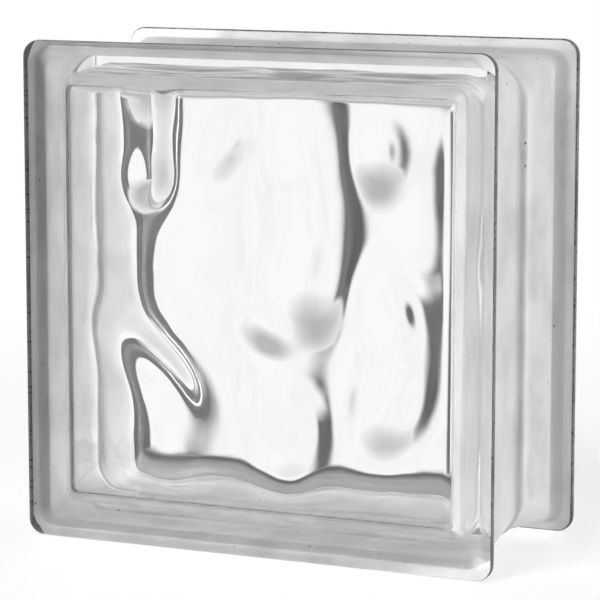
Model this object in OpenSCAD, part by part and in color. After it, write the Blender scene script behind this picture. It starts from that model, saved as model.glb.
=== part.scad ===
// Hollow pressed glass block for walls and windows: two dished halves fused at
// mid-depth into one sealed piece, with a mortar channel round its edges and
// wavy relief on the inside of both faces.
//
// Origin at the middle of the base. X runs along the faces, Y runs through the
// block from the front face to the rear face, and Z points up. Millimetres.

/* [Block] */
// Width and height of the square faces, over the lips
face_w = 197; // [150:1:300]
// Thickness of the block from face to face
block_d = 98.5; // [75:0.5:125]

/* [Lips] */
// Thickness of the lip round each face
lip_t = 6; // [5:0.1:9]
// Corner radius of the faces, over the lips
lip_corner_r = 6.5; // [5:0.1:9]
// Rounding of the lip on the face side
face_round = 3.8; // [2.5:0.1:4.5]
// Rounding of the lip on the channel side
channel_round = 1.2; // [0.4:0.1:1.5]

/* [Mortar channel] */
// Depth of the channel beside the lips
channel_lip_depth = 3.8; // [3.4:0.1:5]
// Depth of the channel at the foot of its bevels
channel_floor_depth = 5.9; // [5.2:0.1:7]
// Depth of the channel beside the seam
channel_seam_depth = 6.1; // [5.2:0.1:8]
// Length of the bevel beside each lip, along the block's thickness
channel_bevel_l = 8; // [4:0.5:12]
// Corner radius of the channel at the foot of its bevels
channel_lip_corner_r = 5; // [3:0.5:9]
// Corner radius of the channel beside the seam
channel_corner_r = 16.5; // [10:0.5:24]
// Fillet between the lip and the bevel
channel_fillet = 2; // [1:0.1:2.5]
// Height of the fused seam's bead above the channel's floor
bead_h = 1.5; // [0.5:0.1:2.5]
// Width of the fused seam's bead
bead_w = 6; // [3.2:0.1:10]

/* [Cavity] */
// Mean thickness of the glass at each face
face_t = 8; // [7:0.1:14]
// Thickness of the side walls at the seam
wall_t = 4; // [3.5:0.1:10]
// Draft of the cavity's side walls, in degrees
cavity_draft = 5.5; // [1:0.5:8]
// Corner radius of the cavity at the seam
cavity_corner_r = 15; // [10:0.5:30]
// Corner radius of the cavity at its faces
cavity_face_corner_r = 3; // [1:0.5:9]
// Width of the chamfer round each wavy face
cavity_chamfer_w = 4.6; // [3:0.1:6]
// Length of the chamfer round each wavy face, along the block's thickness
cavity_chamfer_l = 8; // [5:0.5:10]
// Rounding between a wavy face and its chamfer
cavity_edge_r = 5; // [1:0.5:6]
// Height of the seam's bead on the inside
inner_bead_h = 1; // [0.2:0.1:2]

/* [Waves] */
// Height of the waves inside the faces, as a share of the moulded pattern
wave_gain = 1; // [0.2:0.05:1.4]
// Width of the waves, as a share of the moulded pattern
wave_stretch = 1; // [0.7:0.05:1.5]
// Cells along each edge of a wavy face
wave_cells = 32; // [16:2:36]

/* [Hidden] */
$fn = 96;
seam_y = block_d / 2;
lip_half = face_w / 2;
seam_half = lip_half - channel_seam_depth;
channel_reach = seam_half - channel_corner_r;
floor_reach = lip_half - channel_floor_depth - channel_lip_corner_r;
bevel_end = lip_t + channel_fillet + channel_bevel_l;
cavity_seam_half = seam_half - wall_t;
cavity_half_d = seam_y - face_t;
cavity_wall_d = cavity_half_d - cavity_chamfer_l;
cavity_foot_half = cavity_seam_half - cavity_wall_d * tan(cavity_draft);
chamfer_slant = atan2(cavity_chamfer_l, cavity_chamfer_w);
cavity_face_half = cavity_foot_half - cavity_chamfer_w - cavity_edge_r * tan(chamfer_slant / 2);
edge_steps = 3;
bead_steps = 2;
disc_t = 0.1;
disc_sides = 32;
tiny = 0.001;

// Swells of the moulded waves: the middle, to the right of and above the face's
// middle, the reach along and across the crest, its bearing from X, and its height,
// negative for a hollow.
front_swells = [
    [-45, 68, 28, 10, 90, 2.6],
    [-46, 86, 12, 8, 90, 3],
    [-46, 46, 9, 8, 80, 2.6],
    [-28, 10, 28, 18, 80, 2.5],
    [-44, -26, 25, 10, -43, 3.5],
    [-36, -56, 25, 15, 90, 2.5],
    [-13, 60, 16, 8, 61, 2.2],
    [4, -9, 14, 8, -45, 2.6],
    [21, 58, 36, 15, 97, 5],
    [21, 8, 24, 14, 77, 4.6],
    [13, -48, 22, 13, 92, 4],
    [51, 60, 12, 8, 92, 2.4],
    [56, -1, 17, 11, 105, 4],
    [56, -34, 17, 11, 72, 4],
    [86, 42, 45, 10, 88, -3.4]
];
rear_swells = [
    [-50, 10, 50, 18, 80, 2],
    [-15, 45, 36, 16, 97, 4],
    [-17, -4, 26, 16, 77, 4],
    [-23, -64, 24, 14, 92, 3.2],
    [14, 50, 18, 13, 92, 2.6],
    [21, -14, 20, 14, 105, 3.4],
    [22, -50, 20, 14, 72, 3.4],
    [60, 20, 40, 16, 85, 2]
];

function clamp(value, limit) = max(-limit, min(limit, value));

// One swell's height at a point of the face.
function swell(s, x, z) =
    let (
        dx = x / wave_stretch - s[0],
        dz = z / wave_stretch - s[1],
        along = (dx * cos(s[4]) + dz * sin(s[4])) / s[2],
        across = (dz * cos(s[4]) - dx * sin(s[4])) / s[3]
    )
    s[5] * exp(-along * along - across * across);

// Height of the moulded waves above the mean inner face, towards the cavity.
function relief(swells, x, z, i = 0) =
    i == len(swells) ? 0 : wave_gain * swell(swells[i], x, z) + relief(swells, x, z, i + 1);

// A point of a square grid moved onto a square ring with rounded corners.
function rounded_point(q, half, r) =
    let (
        c = [clamp(q.x, half - r), clamp(q.y, half - r)],
        d = q - c
    )
    norm(d) < tiny ? q : c + r * d / norm(d);

// Sweeps a profile round a square whose corner axes stand at `reach` from the
// middle: x runs outwards from the corner axes and y from the front face.
module swept_round(reach) {
    for (turn = [0 : 90 : 270]) rotate(turn) {
        translate([reach, 0, 0]) rotate([90, 0, 0])
            linear_extrude(2 * reach, center = true) children();
        translate([reach, reach, 0]) rotate_extrude(angle = 90) children();
    }
}

// Waste outside a quarter round of radius r that ends on both axes.
module corner_waste(r) {
    difference() {
        square(r);
        circle(r);
    }
}

module lip_profile() {
    difference() {
        square([lip_corner_r, lip_t]);
        translate([lip_corner_r - face_round, face_round]) mirror([0, 1]) corner_waste(face_round);
        translate([lip_corner_r - channel_round, lip_t - channel_round]) corner_waste(channel_round);
    }
}

// Plate of one face with its rounded lip.
module lipped_face() {
    reach = lip_half - lip_corner_r;
    swept_round(reach) lip_profile();
    translate([-reach, -reach, 0]) cube([2 * reach, 2 * reach, lip_t]);
}

// Root of the channel beside a lip: the fillet, and the bevel down to the floor.
module bevel_profile() {
    root = channel_lip_corner_r + channel_floor_depth - channel_lip_depth;
    polygon([
        [0, lip_t / 2], [root, lip_t / 2], [root, lip_t + channel_fillet],
        [channel_lip_corner_r, bevel_end], [0, bevel_end]
    ]);
    translate([0, lip_t / 2]) square([root + channel_fillet, lip_t / 2]);
    translate([root + channel_fillet, lip_t + channel_fillet]) mirror([1, 1]) corner_waste(channel_fillet);
}

// Thin discs at the four corners of a square.
module corner_discs(reach, r) {
    for (x = [-reach, reach], y = [-reach, reach])
        translate([x, y, 0]) cylinder(r = r, h = disc_t, $fn = disc_sides);
}

// Half of the walls, from inside a lip to the seam. The corners grow rounder
// from the foot of the bevel to the seam.
module half_walls() {
    swept_round(floor_reach) bevel_profile();
    translate([-floor_reach, -floor_reach, lip_t / 2])
        cube([2 * floor_reach, 2 * floor_reach, bevel_end - lip_t / 2]);
    hull() {
        translate([0, 0, bevel_end]) corner_discs(floor_reach, channel_lip_corner_r);
        translate([0, 0, seam_y - disc_t]) corner_discs(channel_reach, channel_corner_r);
    }
}

module bead_profile() {
    r = (bead_w * bead_w / 4 + bead_h * bead_h) / (2 * bead_h);
    translate([channel_corner_r + bead_h - r, seam_y]) circle(r);
}

// Walls between the two faces, with the bead of their fused seam.
module walls() {
    half_walls();
    translate([0, 0, block_d]) mirror([0, 0, 1]) half_walls();
    swept_round(channel_reach) bead_profile();
}

// Side walls of the cavity, one half, as rings from the seam to the face: distance
// from the seam, half width, and the share of the waves' height that they take.
function bead_ring(i) =
    let (
        away = bead_w / 2 * i / bead_steps,
        swelling = inner_bead_h * pow(cos(90 * i / bead_steps), 2)
    )
    [away, cavity_seam_half - away * tan(cavity_draft) - swelling, 0];
function edge_ring(i) =
    let (a = chamfer_slant * i / edge_steps)
    [cavity_half_d - cavity_edge_r * (1 - cos(a)), cavity_face_half + cavity_edge_r * sin(a), 1];
bead_rings = [for (i = [0 : bead_steps]) bead_ring(i)];
chamfer_foot = [cavity_wall_d, cavity_foot_half, 1];
edge_rings = [for (i = [edge_steps : -1 : 1]) edge_ring(i)];
half_rings = concat(bead_rings, [chamfer_foot], edge_rings);

// All rings from the front face to the rear face, with the side they stand on.
front_rings = [for (i = [len(half_rings) - 1 : -1 : 0]) concat(half_rings[i], [-1])];
rear_rings = [for (i = [1 : len(half_rings) - 1]) concat(half_rings[i], [1])];
rings = concat(front_rings, rear_rings);

// Corner radius of the cavity at a distance from the seam.
function inset_corner_r(away) =
    cavity_corner_r + (cavity_face_corner_r - cavity_corner_r) * away / cavity_half_d;

// Grid step of a wavy face as a point of a square with sides from -1 to 1.
function grid_unit(i, j) = [2 * i / wave_cells - 1, 2 * j / wave_cells - 1];

// Grid place of step k along the edge of a wavy face.
function edge_place(k) =
    k < wave_cells ? [k, 0] :
    k < 2 * wave_cells ? [wave_cells, k - wave_cells] :
    k < 3 * wave_cells ? [3 * wave_cells - k, wave_cells] :
    [0, 4 * wave_cells - k];

// Point of the cavity at a place of the grid, on a ring of the given size.
function cavity_point(unit, half, away, share, side) =
    let (
        reach = max(abs(unit.x), abs(unit.y)),
        q = rounded_point(half * unit, half * reach, inset_corner_r(away) * reach),
        swells = side < 0 ? front_swells : rear_swells,
        lift = share == 0 ? 0 : share * relief(swells, q.x, q.y)
    )
    [q.x, side * (away - lift), lip_half + q.y];

function face_points(side) = [
    for (j = [0 : wave_cells], i = [0 : wave_cells])
        cavity_point(grid_unit(i, j), cavity_face_half, cavity_half_d, 1, side)
];
function ring_points(ring) = [
    for (k = [0 : 4 * wave_cells - 1])
        let (place = edge_place(k))
        cavity_point(grid_unit(place.x, place.y), ring[1], ring[0], ring[2], ring[3])
];

// Sealed space inside the block, with its wavy faces.
module cavity() {
    row = wave_cells + 1;
    loop = 4 * wave_cells;
    face_count = row * row;
    wall_points = [for (ring = rings) each ring_points(ring)];
    points = concat(face_points(-1), wall_points, face_points(1));
    rear_start = face_count + len(rings) * loop;
    levels = len(rings) + 1;
    front_faces = [
        for (j = [0 : wave_cells - 1], i = [0 : wave_cells - 1])
            let (a = j * row + i)
            each [[a, a + row, a + row + 1], [a, a + row + 1, a + 1]]
    ];
    rear_faces = [
        for (j = [0 : wave_cells - 1], i = [0 : wave_cells - 1])
            let (a = rear_start + j * row + i)
            each [[a, a + 1, a + row + 1], [a, a + row + 1, a + row]]
    ];
    wall_faces = [
        for (level = [0 : levels - 1], k = [0 : loop - 1])
            let (
                a = wall_index(level, k, row, loop, face_count, rear_start),
                b = wall_index(level, (k + 1) % loop, row, loop, face_count, rear_start),
                c = wall_index(level + 1, (k + 1) % loop, row, loop, face_count, rear_start),
                d = wall_index(level + 1, k, row, loop, face_count, rear_start)
            )
            each [[a, b, c], [a, c, d]]
    ];
    polyhedron(points = points, faces = concat(front_faces, wall_faces, rear_faces), convexity = 6);
}

// Number of the point at step k of a level: the first and last levels are the edges
// of the wavy faces and the others are the rings of the side walls.
function wall_index(level, k, row, loop, face_count, rear_start) =
    let (place = edge_place(k))
    level == 0 ? place.y * row + place.x :
    level == len(rings) + 1 ? rear_start + place.y * row + place.x :
    face_count + (level - 1) * loop + k;

module glass_block() {
    color("LightCyan", 0.4) difference() {
        translate([0, -seam_y, lip_half]) rotate([-90, 0, 0]) {
            lipped_face();
            translate([0, 0, block_d]) mirror([0, 0, 1]) lipped_face();
            walls();
        }
        cavity();
    }
}

glass_block();
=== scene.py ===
"""Dresses a hollow wavy glass block: fine glass skin, coated edges and a white studio."""

import logging
import math
from dataclasses import dataclass
from enum import Enum
from typing import Iterator, NamedTuple

import bmesh
import bpy
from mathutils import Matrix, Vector


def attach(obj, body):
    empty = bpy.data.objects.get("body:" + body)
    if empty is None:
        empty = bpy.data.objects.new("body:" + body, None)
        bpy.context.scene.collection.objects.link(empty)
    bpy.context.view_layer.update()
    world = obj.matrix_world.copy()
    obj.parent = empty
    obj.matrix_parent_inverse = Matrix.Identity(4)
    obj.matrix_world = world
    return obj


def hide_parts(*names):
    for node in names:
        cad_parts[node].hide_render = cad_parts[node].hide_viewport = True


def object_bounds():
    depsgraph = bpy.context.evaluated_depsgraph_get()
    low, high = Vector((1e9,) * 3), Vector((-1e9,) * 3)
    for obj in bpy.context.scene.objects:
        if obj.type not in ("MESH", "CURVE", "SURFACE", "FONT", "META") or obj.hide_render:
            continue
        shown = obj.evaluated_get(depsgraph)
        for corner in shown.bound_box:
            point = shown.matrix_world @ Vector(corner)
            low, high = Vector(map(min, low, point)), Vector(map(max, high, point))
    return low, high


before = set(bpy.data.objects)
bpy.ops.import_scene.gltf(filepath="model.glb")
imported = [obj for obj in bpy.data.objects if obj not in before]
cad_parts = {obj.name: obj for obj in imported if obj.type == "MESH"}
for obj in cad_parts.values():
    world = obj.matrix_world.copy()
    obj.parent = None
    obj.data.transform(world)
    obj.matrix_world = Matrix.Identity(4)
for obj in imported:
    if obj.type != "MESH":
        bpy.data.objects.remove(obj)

CAD_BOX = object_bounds()
LOG = logging.getLogger("glass_block")
MM = 0.001
TINY = 1e-6
WHITE = (1.0, 1.0, 1.0, 1.0)


class Zone(Enum):
    """Finishes of the block's skin, in the order of its material slots."""

    CLEAR = 0
    COATED = 1
    # The lips' edges: a darker grey coat that is painted shade, with worn specks.
    WORN_AND_SHADED = 2
    # The bevels: a less reflective coat that renders darker as painted shade.
    SHADED_BEVEL = 3


class Side(Enum):
    """The block's two faces, with the sign of Y that each looks along."""

    FRONT = -1
    REAR = 1


class Ring(NamedTuple):
    """A square loop of the outer skin, with rounded corners, in millimetres.

    Args:
        depth: distance from the face that the loops are counted from.
        half: half of the loop's width.
        corner: radius of the loop's corners.
        zone: finish of the skin that ends on this loop.
    """

    depth: float
    half: float
    corner: float
    zone: Zone = Zone.CLEAR


class Ripple(NamedTuple):
    """One set of ripples on the cavity's side walls, which run round the block and sway.

    Args:
        share: part of the ripples' height that this set has.
        length: millimetres along the wall for one radian of the ripple.
        sway: how far the ripple sways, in radians.
        sways: number of sways round the block.
        lead: where the sways start, in radians.
        phase: where the ripple starts, in radians.
    """

    share: float
    length: float
    sway: float
    sways: int
    lead: float
    phase: float

    def lift(self, y: float, turn: float) -> float:
        """Height of this set at a point of the wall, as a part of the ripples' height.

        Args:
            y: distance behind the seam, in millimetres.
            turn: place round the block, in radians.

        Returns:
            The height outwards, from minus the share to the share.
        """
        swayed = y / self.length + self.sway * math.sin(self.sways * turn + self.lead)
        return self.share * math.sin(swayed + self.phase)


@dataclass(frozen=True)
class Swell:
    """One swell of a moulded face, a long rounded rise, in millimetres and degrees.

    Args:
        x: middle of the swell, to the right of the face's middle.
        z: middle of the swell, above the face's middle.
        length: reach along its crest.
        width: reach across its crest.
        bearing: direction of its crest, from X towards Z.
        height: height of its crest above the mean face, negative for a hollow.
    """

    x: float
    z: float
    length: float
    width: float
    bearing: float
    height: float

    def lift(self, x: float, z: float) -> float:
        """Height of this swell at a point of the face.

        Args:
            x: distance to the right of the face's middle.
            z: distance above the face's middle.

        Returns:
            The height towards the cavity, in millimetres.
        """
        turn = math.radians(self.bearing)
        along = ((x - self.x) * math.cos(turn) + (z - self.z) * math.sin(turn)) / self.length
        across = ((z - self.z) * math.cos(turn) - (x - self.x) * math.sin(turn)) / self.width
        return self.height * math.exp(-along * along - across * across)


def srgb(code: str) -> tuple[float, float, float, float]:
    """Turns an sRGB hex colour into the linear colour that shaders take.

    Args:
        code: six hex digits.

    Returns:
        Red, green, blue and full opacity.
    """
    parts = [int(code[i:i + 2], 16) / 255 for i in (0, 2, 4)]
    red, green, blue = (c / 12.92 if c <= 0.04045 else ((c + 0.055) / 1.055) ** 2.4 for c in parts)
    return red, green, blue, 1.0


def add(tree: bpy.types.NodeTree, kind: str, inputs: dict | None = None, **settings) -> bpy.types.Node:
    """Adds a node to a tree.

    Args:
        tree: node tree that takes the node.
        kind: Blender's name of the node type.
        inputs: input name or number to a value, or to a socket to link from.
        settings: properties of the node itself.

    Returns:
        The new node.
    """
    node = tree.nodes.new(kind)
    for name, value in settings.items():
        setattr(node, name, value)
    for name, value in (inputs or {}).items():
        if isinstance(value, bpy.types.NodeSocket):
            tree.links.new(value, node.inputs[name])
        else:
            node.inputs[name].default_value = value
    return node


def calc(tree: bpy.types.NodeTree, operation: str, first: bpy.types.NodeSocket,
         second: bpy.types.NodeSocket | float = 0.0, clamp: bool = False) -> bpy.types.NodeSocket:
    """Adds a node that works out a value from one or two others.

    Args:
        tree: node tree that takes the node.
        operation: Blender's name of the operation.
        first: the first value.
        second: the second value, for an operation that takes two.
        clamp: whether the result is kept between 0 and 1.

    Returns:
        The result.
    """
    node = add(tree, "ShaderNodeMath", {0: first, 1: second}, operation=operation, use_clamp=clamp)
    return node.outputs[0]


def cloud(tree: bpy.types.NodeTree, size_mm: float, detail: float,
          roughness: float = 0.5) -> bpy.types.NodeSocket:
    """Adds cloudy noise that is fixed to the object.

    Args:
        tree: node tree that takes the noise.
        size_mm: size of its clouds.
        detail: number of finer layers.
        roughness: strength of the finer layers.

    Returns:
        The noise, from 0 to 1.
    """
    place = add(tree, "ShaderNodeTexCoord")
    noise = add(tree, "ShaderNodeTexNoise", {
        "Vector": place.outputs["Object"], "Scale": 1 / MM / size_mm,
        "Detail": detail, "Roughness": roughness})
    return noise.outputs[0]


def blank_material(name: str) -> bpy.types.Material:
    """Makes a material with an empty node tree.

    Args:
        name: the material's name.

    Returns:
        The material.
    """
    material = bpy.data.materials.new(name)
    material.use_nodes = True
    material.node_tree.nodes.clear()
    return material


@dataclass(frozen=True)
class Ramp:
    """A ramp of shader values: one level up to a start, and another from an end on.

    Args:
        start: value at which it begins to change.
        end: value at which it has changed.
        before: level up to the start.
        after: level from the end on.
        soft: whether it starts and ends gently.
    """

    start: float
    end: float
    before: float = 0.0
    after: float = 1.0
    soft: bool = True

    def draw(self, tree: bpy.types.NodeTree, value: bpy.types.NodeSocket) -> bpy.types.NodeSocket:
        """Adds the ramp to a tree.

        Args:
            tree: node tree that takes the ramp.
            value: socket that drives it.

        Returns:
            The ramp's level.
        """
        node = add(tree, "ShaderNodeMapRange", {
            "Value": value, "From Min": self.start, "From Max": self.end,
            "To Min": self.before, "To Max": self.after},
            interpolation_type="SMOOTHSTEP" if self.soft else "LINEAR")
        return node.outputs[0]


@dataclass(frozen=True)
class PressedGlass:
    """Soda-lime glass pressed in a mould: clear, with the faint ripple of uneven chilling.

    Args:
        name: the material's name.
        tint: colour that the glass gives to what shows through it.
        ior: index of refraction.
        roughness: dullness of its surface.
        ripple_mm: size of the ripples.
        ripple_depth_mm: depth of the ripples.
        ripple_fine: strength of the ripples' finer layer.
    """

    name: str = "pressed soda-lime glass"
    tint: str = "FFFFFF"
    ior: float = 1.52
    roughness: float = 0.0
    ripple_mm: float = 14.0
    ripple_depth_mm: float = 0.12
    ripple_fine: float = 0.4

    def make(self) -> bpy.types.Material:
        """Builds the material.

        Returns:
            The material.
        """
        material = blank_material(self.name)
        tree = material.node_tree
        bump = add(tree, "ShaderNodeBump", {
            "Height": cloud(tree, self.ripple_mm, 1.0, self.ripple_fine),
            "Distance": self.ripple_depth_mm * MM, "Strength": 1.0})
        glass = add(tree, "ShaderNodeBsdfPrincipled", {
            "Base Color": srgb(self.tint), "Roughness": self.roughness,
            "IOR": self.ior, "Transmission Weight": 1.0, "Normal": bump.outputs[0]})
        add(tree, "ShaderNodeOutputMaterial", {"Surface": glass.outputs["BSDF"]})
        return material


@dataclass(frozen=True)
class EdgeCoat:
    """Pale vinyl edge coating, brushed on: a satin skin with soft blotches and a few dark specks.

    Light passes through it in part, so it takes some of its tone from inside the glass.

    Args:
        name: the material's name.
        colour: colour of most of the coating.
        blotch: colour of the blotches.
        speck: colour of the specks.
        roughness: dullness of its sheen.
        shine: strength of its sheen.
        sheer: part of the light that goes through instead of coming back.
        blotch_mm: size of the blotches.
        blotch_edge: how the noise turns into blotches.
        speck_mm: size of the pattern that the specks are picked from.
        speck_from: level of that pattern from which it is a speck.
        speck_soft: width of a speck's soft edge, as a level of the pattern.
    """

    name: str = "pale vinyl edge coating"
    colour: str = "F8F8F8"
    blotch: str = "E6E6E6"
    speck: str = "4A4A4A"
    roughness: float = 0.45
    shine: float = 0.1
    sheer: float = 0.5
    blotch_mm: float = 22.0
    blotch_edge: Ramp = Ramp(0.42, 0.68, soft=False)
    speck_mm: float = 2.2
    speck_from: float = 0.77
    speck_soft: float = 0.03

    def make(self) -> bpy.types.Material:
        """Builds the material.

        Returns:
            The material.
        """
        material = blank_material(self.name)
        tree = material.node_tree
        patch = self.blotch_edge.draw(tree, cloud(tree, self.blotch_mm, 3.0))
        paint = add(tree, "ShaderNodeMix", {0: patch, 6: srgb(self.colour), 7: srgb(self.blotch)},
                    data_type="RGBA")
        speck_edge = Ramp(self.speck_from, self.speck_from + self.speck_soft, soft=False)
        dot = speck_edge.draw(tree, cloud(tree, self.speck_mm, 1.0))
        colour = add(tree, "ShaderNodeMix", {0: dot, 6: paint.outputs[2], 7: srgb(self.speck)},
                     data_type="RGBA")
        skin = add(tree, "ShaderNodeBsdfPrincipled", {
            "Base Color": colour.outputs[2], "Roughness": self.roughness,
            "Specular IOR Level": self.shine})
        glow = add(tree, "ShaderNodeBsdfTranslucent", {"Color": colour.outputs[2]})
        coat = add(tree, "ShaderNodeMixShader", {0: self.sheer, 1: skin.outputs[0], 2: glow.outputs[0]})
        add(tree, "ShaderNodeOutputMaterial", {"Surface": coat.outputs[0]})
        return material


@dataclass(frozen=True)
class WhitePaper:
    """White paper of the floor: matt white that keeps the block's shadow and fades to pure white.

    Through glass it shows a painted shadow close beside the block: a grey glow set by distance
    rather than lit. Further off, it lets that view go on to what is behind.

    Args:
        name: the material's name.
        colour: colour of the paper.
        clean: share of pure white that the camera sees, by metres from the middle of the block.
        shade: level of the painted shadow, a grey glow seen through glass, by metres from the block's
            mid-plane.
        gone: how far that shade has given way to what is behind, by the same distance.
    """

    name: str = "white paper"
    colour: str = "F4F4F4"
    clean: Ramp = Ramp(0.1, 0.6, 0.7, 1.0, soft=False)
    shade: Ramp = Ramp(0.062, 0.085, 0.32, 0.08, soft=False)
    gone: Ramp = Ramp(0.095, 0.15)

    def make(self) -> bpy.types.Material:
        """Builds the material.

        Returns:
            The material.
        """
        material = blank_material(self.name)
        tree = material.node_tree
        path = add(tree, "ShaderNodeLightPath")
        spot = add(tree, "ShaderNodeTexCoord")
        reach = add(tree, "ShaderNodeVectorMath", {0: spot.outputs["Object"]}, operation="LENGTH")
        axes = add(tree, "ShaderNodeSeparateXYZ", {0: spot.outputs["Object"]})
        apart = calc(tree, "ABSOLUTE", axes.outputs["Y"])
        paper = add(tree, "ShaderNodeBsdfDiffuse", {"Color": srgb(self.colour)})
        pure = add(tree, "ShaderNodeEmission", {"Color": WHITE, "Strength": 1.0})
        clean = calc(tree, "MULTIPLY", path.outputs["Is Camera Ray"],
                     self.clean.draw(tree, reach.outputs["Value"]))
        direct = add(tree, "ShaderNodeMixShader", {0: clean, 1: paper.outputs[0], 2: pure.outputs[0]})
        # Painted shadow: grey light of its own beside the block, darkest in a band, for the block's shadow
        # seen through glass.
        shade = add(tree, "ShaderNodeEmission", {"Color": WHITE, "Strength": self.shade.draw(tree, apart)})
        beyond = add(tree, "ShaderNodeBsdfTransparent")
        through = add(tree, "ShaderNodeMixShader", {
            0: self.gone.draw(tree, apart), 1: shade.outputs[0], 2: beyond.outputs[0]})
        mix = add(tree, "ShaderNodeMixShader", {
            0: path.outputs["Is Transmission Ray"], 1: direct.outputs[0], 2: through.outputs[0]})
        add(tree, "ShaderNodeOutputMaterial", {"Surface": mix.outputs[0]})
        return material


@dataclass
class GlassBlock:
    """The block's skin: lips, channel and seam outside, and the wavy cavity inside.

    Args, in millimetres and degrees unless they say otherwise:
        face_w: width and height of the faces.
        block_d: thickness of the block.
        lip_t: thickness of a lip, with its face.
        lip_corner_r: corner radius of the lips.
        face_round: rounding between a face and its lip's edge.
        channel_round: rounding between a lip's edge and the channel.
        channel_lip_depth: depth of the channel beside a lip.
        channel_floor_depth: depth of the channel at the foot of its bevel.
        channel_seam_depth: depth of the channel beside the seam.
        channel_bevel_l: length of a bevel across the channel.
        channel_lip_corner_r: corner radius of the channel at the bevels.
        channel_corner_r: corner radius of the channel at the seam.
        channel_fillet: fillet between a lip and its bevel.
        crease: half of the softened width where a bevel ends.
        sliver: width left at the inner edge of a lip's back, so that the two zones there stay apart.
        darkened_from: sine of the turn of the face's rounding from which the coating is darkened with
            painted shade and worn specks.
        darkened_front: where the darkened coating, painted shade with worn specks, ends on the front lip,
            as half_rings takes it.
        darkened_rear: where that darkened coating ends on the rear lip, as half_rings takes it.
        bead_h: height of the seam's bead outside.
        bead_w: width of the seam's bead, outside and inside.
        face_t: mean thickness of a face.
        wall_t: thickness of the side walls at the seam.
        cavity_draft: draft of the cavity's side walls.
        cavity_corner_r: corner radius of the cavity at the seam.
        cavity_face_corner_r: corner radius of the cavity at the wavy faces.
        cavity_chamfer_w: width of the chamfer round a wavy face.
        cavity_chamfer_l: length of that chamfer along the block's thickness.
        cavity_edge_r: rounding between that chamfer and the waves.
        inner_bead_h: height of the seam's bead inside.
        round_steps: steps of each rounding.
        corner_steps: steps of each corner.
        floor_steps: steps of the channel's floor, from a bevel to the bead.
        wave_cells: cells across a wavy face.
        chamfer_stops: places of the loops on a chamfer, as shares of its length.
        wall_steps: steps of a side wall, from a chamfer to the bead.
        wall_start: step of the first loop of a side wall.
        wall_ripple: height of the ripples on the side walls.
        ripples: sets of those ripples.
        weld_skin: distance within which points of the outer skin are joined.
        weld_seam: distance within which the cavity's two halves are joined.
        front_swells: swells of the front wavy face.
        rear_swells: swells of the rear wavy face.
        glass: finish of the bare glass.
        coat: finish of the channel.
        wear_and_shade: finish of the lips' edges: a darker grey that is painted shade, with worn blotches
            and specks.
        bevel_shade: finish of the bevels, the coat made less reflective and more see-through so that they
            render darker, as painted shade.
    """

    face_w: float = 197.0
    block_d: float = 98.5
    lip_t: float = 6.0
    lip_corner_r: float = 6.5
    face_round: float = 3.8
    channel_round: float = 1.2
    channel_lip_depth: float = 3.8
    channel_floor_depth: float = 5.9
    channel_seam_depth: float = 6.1
    channel_bevel_l: float = 8.0
    channel_lip_corner_r: float = 5.0
    channel_corner_r: float = 16.5
    channel_fillet: float = 2.0
    crease: float = 0.3
    sliver: float = 0.05
    darkened_from: float = 0.95
    darkened_front: float = 1.0
    darkened_rear: float = 0.9
    bead_h: float = 1.5
    bead_w: float = 6.0
    face_t: float = 8.0
    wall_t: float = 4.0
    cavity_draft: float = 5.5
    cavity_corner_r: float = 15.0
    cavity_face_corner_r: float = 3.0
    cavity_chamfer_w: float = 4.6
    cavity_chamfer_l: float = 8.0
    cavity_edge_r: float = 5.0
    inner_bead_h: float = 1.0
    round_steps: int = 8
    corner_steps: int = 16
    floor_steps: int = 4
    wave_cells: int = 140
    chamfer_stops: tuple[float, ...] = (0.33, 0.66, 0.95)
    wall_steps: int = 16
    wall_start: float = 0.1
    wall_ripple: float = 0.45
    ripples: tuple[Ripple, ...] = (
        Ripple(0.7, 3.4, 2.0, 7, 0.6, 1.1),
        Ripple(0.3, 1.9, -1.5, 11, 2.0, 0.0),
    )
    weld_skin: float = 0.005
    weld_seam: float = 0.01
    front_swells: tuple[Swell, ...] = (
        Swell(-45, 68, 28, 10, 90, 2.6),
        Swell(-46, 86, 12, 8, 90, 3),
        Swell(-46, 46, 9, 8, 80, 2.6),
        Swell(-28, 10, 28, 18, 80, 2.5),
        Swell(-44, -26, 25, 10, -43, 3.5),
        Swell(-36, -56, 25, 15, 90, 2.5),
        Swell(-13, 60, 16, 8, 61, 2.2),
        Swell(4, -9, 14, 8, -45, 2.6),
        Swell(21, 58, 36, 15, 97, 5.0),
        Swell(21, 8, 24, 14, 77, 4.6),
        Swell(13, -48, 22, 13, 92, 4.0),
        Swell(51, 60, 12, 8, 92, 2.4),
        Swell(56, -1, 17, 11, 105, 4.0),
        Swell(56, -34, 17, 11, 72, 4.0),
        Swell(86, 42, 45, 10, 88, -3.4),
    )
    rear_swells: tuple[Swell, ...] = (
        Swell(-50, 10, 50, 18, 80, 2.0),
        Swell(-15, 45, 36, 16, 97, 4.0),
        Swell(-17, -4, 26, 16, 77, 4.0),
        Swell(-23, -64, 24, 14, 92, 3.2),
        Swell(14, 50, 18, 13, 92, 2.6),
        Swell(21, -14, 20, 14, 105, 3.4),
        Swell(22, -50, 20, 14, 72, 3.4),
        Swell(60, 20, 40, 16, 85, 2.0),
    )
    glass: PressedGlass = PressedGlass()
    coat: EdgeCoat = EdgeCoat()
    # The darker grey of the lips' edges is painted shade, for their shadowed backs seen through the
    # rounding; the blotches and specks are wear.
    wear_and_shade: EdgeCoat = EdgeCoat("edge coating with painted shade and worn specks", colour="8E8E8E", blotch="707070", roughness=0.4,
                              sheer=0.25, blotch_mm=12.0, speck_mm=1.2, speck_from=0.6)
    # The bevels' coat sends less light back and lets more through, so they render darker: painted shade for
    # the lips' shadow over them.
    bevel_shade: EdgeCoat = EdgeCoat("bevel coating with painted shade", sheer=0.8)

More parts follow.
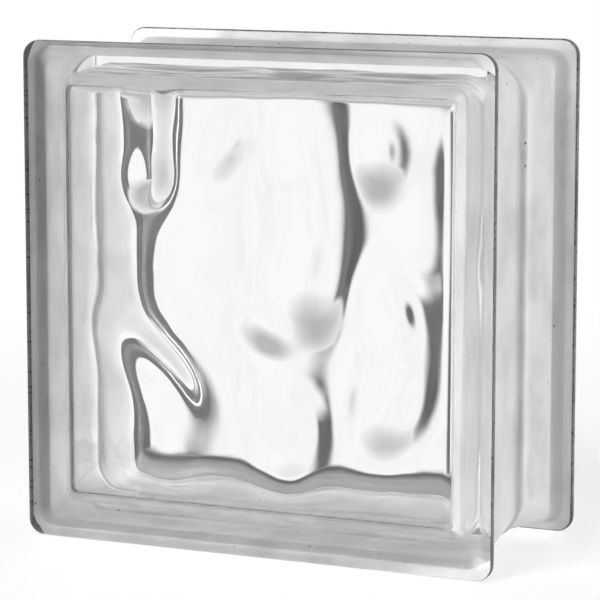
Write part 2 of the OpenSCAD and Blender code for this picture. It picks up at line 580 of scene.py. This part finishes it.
    @property
    def lip_half(self) -> float:
        """Half of the block's width over the lips."""
        return self.face_w / 2

    @property
    def seam_y(self) -> float:
        """Distance of the seam from either face."""
        return self.block_d / 2

    @property
    def seam_half(self) -> float:
        """Half of the width over the channel's floor, beside the seam."""
        return self.lip_half - self.channel_seam_depth

    @property
    def cavity_seam_half(self) -> float:
        """Half of the cavity's width at the seam, without its bead."""
        return self.seam_half - self.wall_t

    @property
    def cavity_half_d(self) -> float:
        """Distance of the mean wavy face from the seam."""
        return self.seam_y - self.face_t

    @property
    def cavity_wall(self) -> float:
        """Length of a side wall, from the seam to the foot of a chamfer."""
        return self.cavity_half_d - self.cavity_chamfer_l

    @property
    def cavity_slope(self) -> float:
        """How much the cavity narrows for each millimetre from the seam."""
        return math.tan(math.radians(self.cavity_draft))

    @property
    def cavity_foot_half(self) -> float:
        """Half of the cavity's width at the foot of a chamfer."""
        return self.cavity_seam_half - self.cavity_wall * self.cavity_slope

    @property
    def chamfer_turn(self) -> float:
        """Slant of the chamfers from the faces, in radians."""
        return math.atan2(self.cavity_chamfer_l, self.cavity_chamfer_w)

    @property
    def cavity_face_half(self) -> float:
        """Half of the width of a wavy face, inside its rounded edge."""
        edge = self.cavity_edge_r * math.tan(self.chamfer_turn / 2)
        return self.cavity_foot_half - self.cavity_chamfer_w - edge

    def inset_corner(self, away: float) -> float:
        """Corner radius of the cavity at a distance from the seam."""
        share = away / self.cavity_half_d
        return self.cavity_corner_r + (self.cavity_face_corner_r - self.cavity_corner_r) * share

    def quarter(self) -> Iterator[tuple[float, float]]:
        """Steps along a quarter round, without the one that it starts from.

        Returns:
            The sine and cosine of each step.
        """
        for step in range(1, self.round_steps + 1):
            turn = math.pi / 2 * step / self.round_steps
            yield math.sin(turn), math.cos(turn)

    def half_rings(self, darkened_to: float) -> list[Ring]:
        """Loops of the outside, from the rim of a flat face to the seam.

        Args:
            darkened_to: where the darkened coating ends, as the sine of the turn of the rounding behind the
                lip's edge. At 1 the lip's flat back is darkened too. Its darker grey is painted shade, with
                worn specks.

        Returns:
            The loops of one half, with depth counted from its face.
        """
        inner = self.lip_half - self.face_round
        rings = [Ring(0.0, inner, self.lip_corner_r - self.face_round)]
        # The rim, the lip's edge and its back take the darker lip-edge coat: painted shade with worn
        # specks.
        for sine, cosine in self.quarter():
            rings.append(Ring(self.face_round * (1 - cosine), inner + self.face_round * sine,
                              self.lip_corner_r - self.face_round * (1 - sine),
                              Zone.WORN_AND_SHADED if sine > self.darkened_from else Zone.CLEAR))
        rings.append(Ring(self.lip_t - self.channel_round, self.lip_half, self.lip_corner_r, Zone.WORN_AND_SHADED))
        for sine, cosine in self.quarter():
            shrink = self.channel_round * (1 - cosine)
            rings.append(Ring(self.lip_t - self.channel_round * (1 - sine), self.lip_half - shrink,
                              self.lip_corner_r - shrink, Zone.WORN_AND_SHADED if sine <= darkened_to else Zone.COATED))
        reach = self.seam_half - self.channel_corner_r
        foot = self.lip_half - self.channel_floor_depth
        root = self.lip_half - self.channel_lip_depth
        start = self.lip_t + self.channel_fillet
        end = start + self.channel_bevel_l
        top = root + self.channel_fillet
        rings.append(Ring(self.lip_t, top + self.sliver, self.lip_corner_r,
                          Zone.WORN_AND_SHADED if darkened_to >= 1.0 else Zone.COATED))
        rings.append(Ring(self.lip_t, top, self.channel_lip_corner_r + top - foot, Zone.COATED))
        for sine, cosine in self.quarter():
            half = top - self.channel_fillet * sine
            rings.append(Ring(self.lip_t + self.channel_fillet * (1 - cosine), half,
                              self.channel_lip_corner_r + half - foot, Zone.COATED))
        # The bevel between these loops takes the less reflective coat, which is painted shade.
        for depth, zone in ((start + self.crease, Zone.COATED), (end - self.crease, Zone.SHADED_BEVEL)):
            half = root + (foot - root) * (depth - start) / self.channel_bevel_l
            rings.append(Ring(depth, half, self.channel_lip_corner_r + half - foot, zone))
        bead_r = (self.bead_w ** 2 / 4 + self.bead_h ** 2) / (2 * self.bead_h)
        middle = self.seam_half + self.bead_h - bead_r
        start = self.seam_y - self.bead_w / 2
        rising = [end + (start - end) * step / self.floor_steps for step in range(1, self.floor_steps + 1)]
        for depth in [end + self.crease] + rising:
            share = (depth - end) / (self.seam_y - end)
            half = foot + (self.seam_half - foot) * share
            corner = self.channel_lip_corner_r + (self.channel_corner_r - self.channel_lip_corner_r) * share
            rings.append(Ring(depth, half, corner, Zone.COATED))
        for step in range(1, self.round_steps + 1):
            depth = start + self.bead_w / 2 * step / self.round_steps
            half = middle + math.sqrt(bead_r ** 2 - (self.seam_y - depth) ** 2)
            rings.append(Ring(depth, half, half - reach, Zone.COATED))
        return rings

    def place_loop(self, loop: list[bmesh.types.BMVert], ring: Ring) -> None:
        """Moves a loop of vertices onto a rounded square.

        Args:
            loop: vertices in order round the loop, the same number at each corner.
            ring: the square's size and its depth from the front face.
        """
        per_corner = self.corner_steps + 1
        straight = ring.half - ring.corner
        for number, vert in enumerate(loop):
            corner, step = divmod(number, per_corner)
            turn = math.pi / 2 * (corner + step / self.corner_steps)
            quarter = math.pi / 2 * corner + math.pi / 4
            x = straight * math.copysign(1, math.cos(quarter)) + ring.corner * math.cos(turn)
            z = straight * math.copysign(1, math.sin(quarter)) + ring.corner * math.sin(turn)
            vert.co = Vector((x, ring.depth - self.seam_y, z + self.lip_half)) * MM

    def build_outside(self, bm: bmesh.types.BMesh) -> None:
        """Draws the outer skin by extruding one loop from the front face to the rear face.

        Args:
            bm: mesh that takes the skin.
        """
        # The rear half is run backwards, so each loop there takes the zone of the one before it.
        rear = self.half_rings(self.darkened_rear)
        rings = self.half_rings(self.darkened_front)
        rings += [ring._replace(depth=self.block_d - ring.depth, zone=after.zone)
                  for ring, after in zip(rear[-2::-1], rear[:0:-1])]
        count = 4 * (self.corner_steps + 1)
        loop = bmesh.ops.create_circle(bm, cap_ends=False, segments=count, radius=1.0)["verts"]
        self.place_loop(loop, rings[0])
        bm.faces.new(loop)
        for ring in rings[1:]:
            edges = [bm.edges.get((a, b)) for a, b in zip(loop, loop[1:] + loop[:1])]
            made = bmesh.ops.extrude_edge_only(bm, edges=edges)["geom"]
            new = {v for v in made if isinstance(v, bmesh.types.BMVert)}
            loop = [next(e.other_vert(v) for e in v.link_edges if e.other_vert(v) in new) for v in loop]
            self.place_loop(loop, ring)
            for face in (f for f in made if isinstance(f, bmesh.types.BMFace)):
                face.material_index = ring.zone.value
                face.smooth = True
        bm.faces.new(loop)
        bmesh.ops.remove_doubles(bm, verts=bm.verts, dist=self.weld_skin * MM)
        bmesh.ops.recalc_face_normals(bm, faces=bm.faces)

    def relief(self, side: Side, x: float, z: float) -> float:
        """Height of the waves on one face, towards the cavity."""
        swells = self.front_swells if side is Side.FRONT else self.rear_swells
        return sum(swell.lift(x, z) for swell in swells)

    def wall_lift(self, at: Vector, y: float) -> float:
        """Height of the ripples on the cavity's side walls, from a plunger that chilled unevenly.

        Args:
            at: point of the wall, seen along the block's thickness.
            y: its distance behind the seam.

        Returns:
            The height outwards, in millimetres.
        """
        turn = math.atan2(at.y, at.x)
        return self.wall_ripple * sum(ripple.lift(y, turn) for ripple in self.ripples)

    def cavity_point(self, u: float, v: float, half: float, away: float, share: float,
                     side: Side) -> Vector:
        """Point of the cavity's skin.

        Args:
            u: place across the face, from -1 to 1.
            v: place up the face, from -1 to 1.
            half: half width of the square that the point is on.
            away: distance from the seam.
            share: how much of the waves' height the point takes.
            side: half of the block that it is in.

        Returns:
            The point in the block's frame, in metres.
        """
        reach = max(abs(u), abs(v))
        corner = self.inset_corner(away) * reach
        limit = half * reach - corner
        at = Vector((half * u, half * v))
        inside = Vector((max(-limit, min(limit, at.x)), max(-limit, min(limit, at.y))))
        out = at - inside
        if out.length > TINY:
            at = inside + out * (corner / out.length)
        lift = share * self.relief(side, at.x, at.y) if share else 0.0
        at *= 1 + (1 - share) * self.wall_lift(at, side.value * away) / half
        return Vector((at.x, side.value * (away - lift), at.y + self.lip_half)) * MM

    def wall_rings(self) -> list[tuple[float, float, float]]:
        """Loops of half of the cavity's side walls, from the face's edge to the seam.

        Returns:
            Distance from the seam, half width, and share of the waves' height, for each loop.
        """
        wall = self.cavity_wall
        start = self.bead_w / 2
        rings = []
        for step in range(1, self.round_steps + 1):
            turn = self.chamfer_turn * step / self.round_steps
            rings.append((self.cavity_half_d - self.cavity_edge_r * (1 - math.cos(turn)),
                          self.cavity_face_half + self.cavity_edge_r * math.sin(turn), 1.0))
        top, half = rings[-1][:2]
        for share in self.chamfer_stops:
            rings.append((top + (wall - top) * share, half + (self.cavity_foot_half - half) * share, 1.0))
        for step in range(self.wall_steps):
            away = wall + (start - wall) * max(step, self.wall_start) / self.wall_steps
            rings.append((away, self.cavity_seam_half - away * self.cavity_slope,
                          (away - start) / (wall - start)))
        for step in range(self.round_steps + 1):
            away = start * (1 - step / self.round_steps)
            swelling = self.inner_bead_h * math.cos(math.pi / 2 * away / start) ** 2
            rings.append((away, self.cavity_seam_half - away * self.cavity_slope - swelling, 0.0))
        return rings

    def build_cavity(self, bm: bmesh.types.BMesh) -> None:
        """Draws the cavity's skin: two wavy grids whose edges are extruded to the seam and joined.

        Args:
            bm: mesh that takes the skin.
        """
        seams = []
        for side in Side:
            grid = bmesh.ops.create_grid(
                bm, x_segments=self.wave_cells, y_segments=self.wave_cells, size=1.0)["verts"]
            units = {vert: (vert.co.x, vert.co.y) for vert in grid}
            for vert, (u, v) in units.items():
                vert.co = self.cavity_point(u, v, self.cavity_face_half, self.cavity_half_d, 1.0, side)
            edges = [e for e in {e for v in grid for e in v.link_edges} if e.is_boundary]
            for away, half, share in self.wall_rings():
                old = {vert for e in edges for vert in e.verts}
                made = bmesh.ops.extrude_edge_only(bm, edges=edges)["geom"]
                new = {v for v in made if isinstance(v, bmesh.types.BMVert)}
                for vert in old:
                    twin = next(e.other_vert(vert) for e in vert.link_edges if e.other_vert(vert) in new)
                    units[twin] = units[vert]
                for vert in new:
                    vert.co = self.cavity_point(*units[vert], half, away, share, side)
                edges = [e for e in made if isinstance(e, bmesh.types.BMEdge)
                         and e.verts[0] in new and e.verts[1] in new]
            seams += [vert for e in edges for vert in e.verts]
        bmesh.ops.remove_doubles(bm, verts=list(set(seams)), dist=self.weld_seam * MM)
        for face in bm.faces:
            face.smooth = True
        bmesh.ops.recalc_face_normals(bm, faces=bm.faces)
        bmesh.ops.reverse_faces(bm, faces=bm.faces)

    def build(self) -> bpy.types.Object:
        """Makes the block as one closed piece of glass with a sealed cavity.

        Returns:
            The finished piece.
        """
        mesh = bpy.data.meshes.new("glass_block_skin")
        bm = bmesh.new()
        self.build_cavity(bm)
        bm.to_mesh(mesh)
        bm.free()
        bm = bmesh.new()
        self.build_outside(bm)
        bm.from_mesh(mesh)
        bm.to_mesh(mesh)
        bm.free()
        piece = bpy.data.objects.new("glass_block_skin", mesh)
        bpy.context.collection.objects.link(piece)
        for finish in (self.glass, self.coat, self.wear_and_shade, self.bevel_shade):
            mesh.materials.append(finish.make())
        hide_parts("glass_block")
        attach(piece, "root")
        return piece


@dataclass(frozen=True)
class Key:
    """A soft light in the surroundings, for the coating that is lit through the glass.

    Args:
        way: direction towards the light.
        lobe: its strength, by the cosine of the angle from that direction.
    """

    way: tuple[float, float, float]
    lobe: Ramp


@dataclass(frozen=True)
class Surroundings:
    """White surroundings of the block, which differ for each kind of ray.

    The camera sees plain white. A view through clear glass, or a mirror image, sees a white sheet
    with dark sides and grey above it. Light on the coating comes from a dim room outside, and from
    a glow and the keys where it has passed through the glass. Strength 1 is white.

    Args:
        sheet_turn: how far the sheet is turned to the left of the block's own axis, in radians.
        sheet_edge: darkness beside the sheet, by the angle from its middle, in radians.
        sheet_low: how far that darkness reaches down, by the slope of the view.
        sheet_high: how far it reaches up, by the slope of the view.
        sheet_left: how far it reaches to the left of the sheet, in radians.
        sheet_right: how far it reaches to the right of the sheet, in radians.
        above: darkness above the sheet, by the slope of the view.
        above_left: how far that darkness reaches to the right, in radians.
        tone: brightness of a darkness between 0 and 1.
        depth_tone: brightness from the block's front to its rear, by the view's share of Y.
        room: strength of the light on the outside of the coating, from front to rear.
        glow: strength of the light inside the glass, from front to rear.
        keys: soft lights that are added to the glow.
    """

    sheet_turn: float = math.radians(21.2)
    sheet_edge: Ramp = Ramp(math.radians(7.2), math.radians(12.7))
    sheet_low: Ramp = Ramp(-0.25, -0.205)
    sheet_high: Ramp = Ramp(-0.075, -0.045, 1.0, 0.0)
    sheet_left: Ramp = Ramp(math.radians(-50.0), math.radians(-60.0), 1.0, 0.0)
    sheet_right: Ramp = Ramp(math.radians(17.0), math.radians(23.0), 1.0, 0.0)
    above: Ramp = Ramp(-0.087, 0.0, 0.0, 0.6, soft=False)
    above_left: Ramp = Ramp(math.radians(-15.0), math.radians(-8.0), 1.0, 0.0)
    tone: Ramp = Ramp(0.0, 1.0, 1.0, 0.1, soft=False)
    depth_tone: Ramp = Ramp(-0.3, 0.0, 0.7, 1.0, soft=False)
    room: Ramp = Ramp(-0.4, 0.6, 0.0, 0.1)
    glow: Ramp = Ramp(-0.4, 0.6, 0.05, 1.2)
    keys: tuple[Key, ...] = (
        Key((-0.35, -0.4, 1.2), Ramp(0.7, 0.95, 0.0, 8.0)),
        Key((0.0, 0.8, 0.9), Ramp(0.7, 0.95, 0.0, 20.0)),
    )

    def draw_sheet(self, tree: bpy.types.NodeTree, axes: bpy.types.Node) -> bpy.types.NodeSocket:
        """Adds what shows through clear glass: the sheet, its dark sides and the grey above it.

        Args:
            tree: the world's node tree.
            axes: node that gives X, Y and Z of the view's direction.

        Returns:
            The background's shader.
        """
        across, along, up = (axes.outputs[name] for name in "XYZ")
        turn = calc(tree, "ARCTAN2", across, calc(tree, "ABSOLUTE", along))
        offset = calc(tree, "ADD", turn, self.sheet_turn)
        dark = self.sheet_edge.draw(tree, calc(tree, "ABSOLUTE", offset))
        limits = ((self.sheet_low, up), (self.sheet_high, up),
                  (self.sheet_left, offset), (self.sheet_right, offset))
        for ramp, value in limits:
            dark = calc(tree, "MULTIPLY", dark, ramp.draw(tree, value))
        grey = calc(tree, "MULTIPLY", self.above.draw(tree, up), self.above_left.draw(tree, turn))
        tone = self.tone.draw(tree, calc(tree, "MAXIMUM", dark, grey))
        sheet = add(tree, "ShaderNodeBackground", {
            "Color": tone, "Strength": self.depth_tone.draw(tree, along)})
        return sheet.outputs[0]

    def draw_glow(self, tree: bpy.types.NodeTree, way: bpy.types.NodeSocket,
                  along: bpy.types.NodeSocket) -> bpy.types.NodeSocket:
        """Adds the light on the coating that has passed through the glass.

        Args:
            tree: the world's node tree.
            way: direction of the ray.
            along: the direction's share of Y.

        Returns:
            The light's strength.
        """
        strength = self.glow.draw(tree, along)
        for key in self.keys:
            facing = add(tree, "ShaderNodeVectorMath", {0: way, 1: Vector(key.way).normalized()},
                         operation="DOT_PRODUCT")
            strength = calc(tree, "ADD", strength, key.lobe.draw(tree, facing.outputs["Value"]))
        return strength

    def fill(self) -> None:
        """Puts the surroundings into the scene's world."""
        world = bpy.data.worlds.new("studio")
        bpy.context.scene.world = world
        world.use_nodes = True
        tree = world.node_tree
        tree.nodes.clear()
        path = add(tree, "ShaderNodeLightPath")
        way = add(tree, "ShaderNodeTexCoord").outputs["Generated"]
        axes = add(tree, "ShaderNodeSeparateXYZ", {0: way})
        along = axes.outputs["Y"]
        diffuse = path.outputs["Is Diffuse Ray"]
        bounced = calc(tree, "MINIMUM", path.outputs["Diffuse Depth"], 1.0)
        loose = calc(tree, "MAXIMUM", bounced, diffuse)
        passed = calc(tree, "SUBTRACT", bounced, diffuse, clamp=True)
        lit = add(tree, "ShaderNodeMix", {
            0: passed, 2: self.room.draw(tree, along), 3: self.draw_glow(tree, way, along)})
        level = add(tree, "ShaderNodeMix", {0: loose, 2: 1.0, 3: lit.outputs[0]})
        plain = add(tree, "ShaderNodeBackground", {"Color": WHITE, "Strength": level.outputs[0]})
        bent = calc(tree, "MAXIMUM", path.outputs["Is Transmission Ray"], path.outputs["Is Glossy Ray"])
        clear = calc(tree, "SUBTRACT", bent, loose, clamp=True)
        mix = add(tree, "ShaderNodeMixShader", {
            0: clear, 1: plain.outputs[0], 2: self.draw_sheet(tree, axes)})
        add(tree, "ShaderNodeOutputWorld", {"Surface": mix.outputs[0]})


@dataclass(frozen=True)
class Softbox:
    """A square lamp, in metres and watts.

    Args:
        name: the lamp's name.
        place: where it hangs.
        size: width of its square.
        power: power of its light.
    """

    name: str
    place: tuple[float, float, float]
    size: float
    power: float

    def hang(self, aim: Vector) -> bpy.types.Object:
        """Hangs the lamp.

        Args:
            aim: point that it looks at.

        Returns:
            The lamp.
        """
        data = bpy.data.lights.new(self.name, "AREA")
        data.size = self.size
        data.energy = self.power
        lamp = bpy.data.objects.new(self.name, data)
        lamp.location = self.place
        lamp.rotation_euler = (aim - Vector(self.place)).to_track_quat("-Z", "Y").to_euler()
        lamp.visible_glossy = False
        lamp.visible_transmission = False
        bpy.context.collection.objects.link(lamp)
        return lamp


@dataclass
class Studio:
    """White floor, white surroundings, soft lamps and the camera.

    Args:
        lens: focal length of the camera, in millimetres.
        sensor: width of its sensor, in millimetres.
        sight: how far it sees, in metres.
        yaw: how far it is turned from looking along Y, in radians.
        pitch: how far it looks down, in radians.
        camera_at: where it stands, in metres.
        floor_half: half of the floor's width, in metres.
        paper: finish of the floor.
        surroundings: what is round the block.
        lamps: lamps that look at the block.
    """

    lens: float = 178.46
    sensor: float = 36.0
    sight: float = 50.0
    yaw: float = 0.4265
    pitch: float = 0.1523
    camera_at: tuple[float, float, float] = (0.4803, -1.0591, 0.2725)
    floor_half: float = 4.0
    paper: WhitePaper = WhitePaper()
    surroundings: Surroundings = Surroundings()
    lamps: tuple[Softbox, ...] = (
        Softbox("left_front_softbox", (-1.3, -2.5, 0.1), 0.5, 135.0),
        Softbox("right_rear_softbox", (1.4, 2.1, 0.25), 0.4, 76.0),
        Softbox("front_top_softbox", (-0.4, -1.7, 2.2), 1.0, 55.0),
        Softbox("overhead_softbox", (0.2, 0.2, 2.4), 1.2, 3.0),
    )

    def place_camera(self) -> bpy.types.Object:
        """Puts the camera where the photograph was taken from.

        Returns:
            The camera.
        """
        data = bpy.data.cameras.new("camera")
        data.lens = self.lens
        data.sensor_width = self.sensor
        data.clip_end = self.sight
        camera = bpy.data.objects.new("camera", data)
        camera.location = self.camera_at
        camera.rotation_euler = (math.pi / 2 - self.pitch, 0.0, self.yaw)
        bpy.context.collection.objects.link(camera)
        bpy.context.scene.camera = camera
        return camera

    def lay_floor(self) -> bpy.types.Object:
        """Lays the white floor, which mirror images leave out.

        Returns:
            The floor.
        """
        mesh = bpy.data.meshes.new("floor")
        bm = bmesh.new()
        bmesh.ops.create_grid(bm, x_segments=1, y_segments=1, size=self.floor_half)
        bm.to_mesh(mesh)
        bm.free()
        floor = bpy.data.objects.new("floor", mesh)
        bpy.context.collection.objects.link(floor)
        mesh.materials.append(self.paper.make())
        floor.visible_glossy = False
        return floor

    def build(self) -> list[bpy.types.Object]:
        """Sets up the camera, the floor, the light and the view transform.

        Returns:
            The camera, the floor and the lamps.
        """
        made = [self.place_camera(), self.lay_floor()]
        self.surroundings.fill()
        aim = (Vector(CAD_BOX[0]) + Vector(CAD_BOX[1])) / 2
        made += [lamp.hang(aim) for lamp in self.lamps]
        bpy.context.scene.view_settings.view_transform = "Standard"
        return made


def main() -> None:
    """Builds the block and its studio, and reports each piece."""
    logging.basicConfig(level=logging.INFO, format="%(name)s: %(message)s")
    piece = GlassBlock().build()
    LOG.info("%s: %d faces", piece.name, len(piece.data.polygons))
    for item in Studio().build():
        LOG.info("%s is in place", item.name)


if __name__ == "__main__":
    main()
